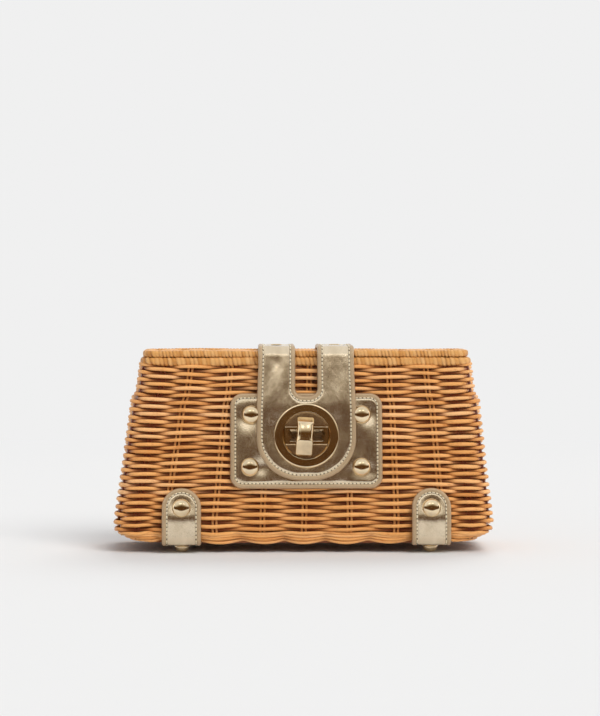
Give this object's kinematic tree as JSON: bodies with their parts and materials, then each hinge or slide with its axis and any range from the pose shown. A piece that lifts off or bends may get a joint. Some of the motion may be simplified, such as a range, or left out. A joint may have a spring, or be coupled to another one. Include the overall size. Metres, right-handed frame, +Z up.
{
  "type": "clutch bag",
  "caption": "Woven reed box clutch with a flat hinged lid, a U-shaped leather closure tab held by a turn lock on a riveted leather plate, and leather foot tabs with domed feet.",
  "frame": {"origin": "on the ground under the middle of the bag", "axes": "+X to the bag's right as seen from the front, the front wall faces -Y, +Z up"},
  "size_m": [0.2274, 0.0895, 0.1244],
  "materials": {
    "wicker": "varnished woven reed, satin",
    "leather": "pale gold foil leather, glossy and slightly crinkled",
    "gold_metal": "polished pale gold plating",
    "lining": "plain woven cotton"
  },
  "bodies": {
    "basket": {"front_panel": "wicker", "back_panel": "wicker", "left_side_panel": "wicker", "right_side_panel": "wicker", "corner_posts": "wicker", "base_border": "wicker", "base_panel": "wicker", "body_rim": "wicker", "lining_box": "lining", "back_strap_left": "leather", "back_strap_right": "leather", "lock_plate": "leather", "lock_base": "gold_metal", "lock_back_plate": "gold_metal", "front_foot_tabs": "leather", "back_foot_tabs": "leather", "domed_studs": "gold_metal", "foot_studs": "gold_metal"},
    "lid": {"lid_rim": "wicker", "lid_panel": "wicker", "lid_lining_sheet": "lining", "lid_strap_left": "leather", "lid_strap_right": "leather", "lid_rivets": "gold_metal"},
    "tab": {"closure_tab": "leather", "eyelet_disc": "gold_metal", "eyelet_clinch_ring": "gold_metal"},
    "knob": {"turn_knob": "gold_metal", "stem_washer": "gold_metal"}
  },
  "joints": [
    {"name": "knob_turn", "type": "hinge", "parent": "basket", "child": "knob", "pos_m": [0, -0.02734, 0.0686], "axis": [0, -0.9858, 0.1682], "range_deg": [0, 90]},
    {"name": "tab_lift", "type": "hinge", "parent": "lid", "child": "tab", "pos_m": [0, -0.02724, 0.11755], "axis": [-1, 0, 0], "range_deg": [0, 85]},
    {"name": "lid_hinge", "type": "hinge", "parent": "basket", "child": "lid", "pos_m": [0, 0.02485, 0.11635], "axis": [-1, 0, 0], "range_deg": [0, 105]}
  ]
}
